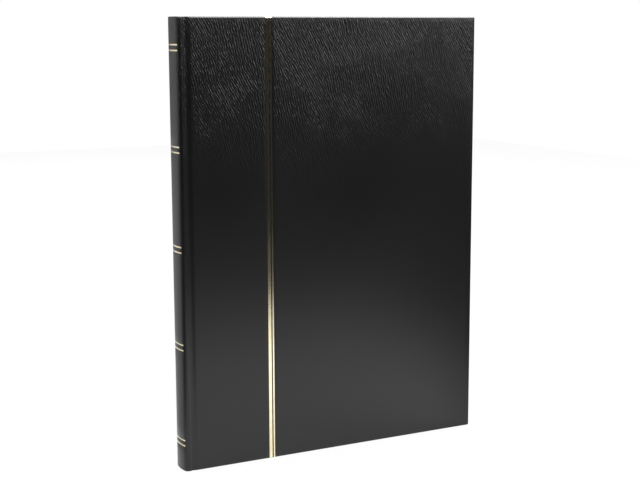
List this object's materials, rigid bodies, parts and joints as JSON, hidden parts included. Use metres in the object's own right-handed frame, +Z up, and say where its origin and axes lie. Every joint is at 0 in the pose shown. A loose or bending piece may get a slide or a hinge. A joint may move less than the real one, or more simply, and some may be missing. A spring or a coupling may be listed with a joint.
{
  "type": "stamp album",
  "caption": "Closed hard-cover stamp album in black leatherette with gold rules; covers and card leaves with glassine pockets turn on cloth hinges.",
  "frame": {"origin": "middle of the footprint, on the surface that the closed album stands on", "axes": "+Z up the spine from tail to head, +X from the spine to the fore-edge, +Y from the front cover to the back cover"},
  "size_m": [0.23, 0.018, 0.305],
  "materials": {
    "leatherette": "black leather-grain covering, satin",
    "gold_foil": "hot-stamped gold foil, bright",
    "greyboard": "grey bookbinder's board",
    "endpaper": "smooth off-white endpaper",
    "leaf_card": "matt off-white card",
    "linen": "woven linen tape",
    "glassine": "translucent glassine, smooth and slightly glossy"
  },
  "bodies": {
    "spine": {"spine_leather": "leatherette", "spine_board": "greyboard", "spine_gold_rules": "gold_foil", "spine_lining": "linen", "binding_guards": "greyboard", "linen_roots": "linen"},
    "front_cover": {"front_cover_leather": "leatherette", "front_board": "greyboard", "front_wide_gold_rule": "gold_foil", "front_narrow_gold_rule": "gold_foil", "front_pastedown": "endpaper"},
    "back_cover": {"back_cover_leather": "leatherette", "back_board": "greyboard", "back_pastedown": "endpaper"},
    "front_flyleaf": {"front_flyleaf": "endpaper"},
    "back_flyleaf": {"back_flyleaf": "endpaper"},
    "leaf_1": {"leaf_1_card": "leaf_card", "leaf_1_linen_hinge": "linen", "leaf_1_front_pockets": "glassine", "leaf_1_back_pockets": "glassine"},
    "leaf_2": {"leaf_2_card": "leaf_card", "leaf_2_linen_hinge": "linen", "leaf_2_front_pockets": "glassine", "leaf_2_back_pockets": "glassine"},
    "leaf_3": {"leaf_3_card": "leaf_card", "leaf_3_linen_hinge": "linen", "leaf_3_front_pockets": "glassine", "leaf_3_back_pockets": "glassine"},
    "leaf_4": {"leaf_4_card": "leaf_card", "leaf_4_linen_hinge": "linen", "leaf_4_front_pockets": "glassine", "leaf_4_back_pockets": "glassine"},
    "leaf_5": {"leaf_5_card": "leaf_card", "leaf_5_linen_hinge": "linen", "leaf_5_front_pockets": "glassine", "leaf_5_back_pockets": "glassine"},
    "leaf_6": {"leaf_6_card": "leaf_card", "leaf_6_linen_hinge": "linen", "leaf_6_front_pockets": "glassine", "leaf_6_back_pockets": "glassine"},
    "leaf_7": {"leaf_7_card": "leaf_card", "leaf_7_linen_hinge": "linen", "leaf_7_front_pockets": "glassine", "leaf_7_back_pockets": "glassine"},
    "leaf_8": {"leaf_8_card": "leaf_card", "leaf_8_linen_hinge": "linen", "leaf_8_front_pockets": "glassine", "leaf_8_back_pockets": "glassine"},
    "interleaf_1": {"interleaf_1": "glassine"},
    "interleaf_2": {"interleaf_2": "glassine"},
    "interleaf_3": {"interleaf_3": "glassine"},
    "interleaf_4": {"interleaf_4": "glassine"},
    "interleaf_5": {"interleaf_5": "glassine"},
    "interleaf_6": {"interleaf_6": "glassine"},
    "interleaf_7": {"interleaf_7": "glassine"}
  },
  "joints": [
    {"name": "front_cover_hinge", "type": "hinge", "parent": "spine", "child": "front_cover", "pos_m": [-0.1087, -0.00898, 0], "axis": [0, 0, -1], "range_deg": [0, 180]},
    {"name": "back_cover_hinge", "type": "hinge", "parent": "spine", "child": "back_cover", "pos_m": [-0.1087, 0.00898, 0], "axis": [0, 0, 1], "range_deg": [0, 180]},
    {"name": "front_flyleaf_turn", "type": "hinge", "parent": "spine", "child": "front_flyleaf", "pos_m": [-0.103, -0.00577, 0], "axis": [0, 0, -1], "range_deg": [0, 80.5]},
    {"name": "back_flyleaf_turn", "type": "hinge", "parent": "spine", "child": "back_flyleaf", "pos_m": [-0.103, 0.00577, 0], "axis": [0, 0, 1], "range_deg": [0, 80.5]},
    {"name": "leaf_1_turn", "type": "hinge", "parent": "spine", "child": "leaf_1", "pos_m": [-0.103, -0.00473, 0], "axis": [0, 0, -1], "range_deg": [0, 66.5]},
    {"name": "leaf_2_turn", "type": "hinge", "parent": "spine", "child": "leaf_2", "pos_m": [-0.103, -0.00328, 0], "axis": [0, 0, -1], "range_deg": [0, 50]},
    {"name": "leaf_3_turn", "type": "hinge", "parent": "spine", "child": "leaf_3", "pos_m": [-0.103, -0.00183, 0], "axis": [0, 0, -1], "range_deg": [0, 33.5]},
    {"name": "leaf_4_turn", "type": "hinge", "parent": "spine", "child": "leaf_4", "pos_m": [-0.103, -0.00038, 0], "axis": [0, 0, -1], "range_deg": [0, 17]},
    {"name": "leaf_5_turn", "type": "hinge", "parent": "spine", "child": "leaf_5", "pos_m": [-0.103, 0.00108, 0], "axis": [0, 0, 1], "range_deg": [0, 17]},
    {"name": "leaf_6_turn", "type": "hinge", "parent": "spine", "child": "leaf_6", "pos_m": [-0.103, 0.00252, 0], "axis": [0, 0, 1], "range_deg": [0, 33.5]},
    {"name": "leaf_7_turn", "type": "hinge", "parent": "spine", "child": "leaf_7", "pos_m": [-0.103, 0.00398, 0], "axis": [0, 0, 1], "range_deg": [0, 50]},
    {"name": "leaf_8_turn", "type": "hinge", "parent": "spine", "child": "leaf_8", "pos_m": [-0.103, 0.00543, 0], "axis": [0, 0, 1], "range_deg": [0, 66.5]},
    {"name": "interleaf_1_turn", "type": "hinge", "parent": "spine", "child": "interleaf_1", "pos_m": [-0.103, -0.00435, 0], "axis": [0, 0, -1], "range_deg": [0, 58.25]},
    {"name": "interleaf_2_turn", "type": "hinge", "parent": "spine", "child": "interleaf_2", "pos_m": [-0.103, -0.0029, 0], "axis": [0, 0, -1], "range_deg": [0, 41.75]},
    {"name": "interleaf_3_turn", "type": "hinge", "parent": "spine", "child": "interleaf_3", "pos_m": [-0.103, -0.00145, 0], "axis": [0, 0, -1], "range_deg": [0, 25.25]},
    {"name": "interleaf_4_turn", "type": "hinge", "parent": "spine", "child": "interleaf_4", "pos_m": [-0.103, 0, 0], "axis": [0, 0, -1], "range_deg": [0, 8.75]},
    {"name": "interleaf_5_turn", "type": "hinge", "parent": "spine", "child": "interleaf_5", "pos_m": [-0.103, 0.00145, 0], "axis": [0, 0, 1], "range_deg": [0, 25.25]},
    {"name": "interleaf_6_turn", "type": "hinge", "parent": "spine", "child": "interleaf_6", "pos_m": [-0.103, 0.0029, 0], "axis": [0, 0, 1], "range_deg": [0, 41.75]},
    {"name": "interleaf_7_turn", "type": "hinge", "parent": "spine", "child": "interleaf_7", "pos_m": [-0.103, 0.00435, 0], "axis": [0, 0, 1], "range_deg": [0, 58.25]}
  ],
  "couplings": [
    {"joint": "front_flyleaf_turn", "follows": "front_cover_hinge", "ratio": 0.44444},
    {"joint": "back_flyleaf_turn", "follows": "back_cover_hinge", "ratio": 0.44444},
    {"joint": "leaf_1_turn", "follows": "front_cover_hinge", "ratio": 0.36667},
    {"joint": "leaf_2_turn", "follows": "front_cover_hinge", "ratio": 0.275},
    {"joint": "leaf_3_turn", "follows": "front_cover_hinge", "ratio": 0.18333},
    {"joint": "leaf_4_turn", "follows": "front_cover_hinge", "ratio": 0.091667},
    {"joint": "leaf_5_turn", "follows": "back_cover_hinge", "ratio": 0.091667},
    {"joint": "leaf_6_turn", "follows": "back_cover_hinge", "ratio": 0.18333},
    {"joint": "leaf_7_turn", "follows": "back_cover_hinge", "ratio": 0.275},
    {"joint": "leaf_8_turn", "follows": "back_cover_hinge", "ratio": 0.36667},
    {"joint": "interleaf_1_turn", "follows": "front_cover_hinge", "ratio": 0.32083},
    {"joint": "interleaf_2_turn", "follows": "front_cover_hinge", "ratio": 0.22917},
    {"joint": "interleaf_3_turn", "follows": "front_cover_hinge", "ratio": 0.1375},
    {"joint": "interleaf_4_turn", "follows": "front_cover_hinge", "ratio": 0.045833},
    {"joint": "interleaf_5_turn", "follows": "back_cover_hinge", "ratio": 0.1375},
    {"joint": "interleaf_6_turn", "follows": "back_cover_hinge", "ratio": 0.22917},
    {"joint": "interleaf_7_turn", "follows": "back_cover_hinge", "ratio": 0.32083}
  ]
}
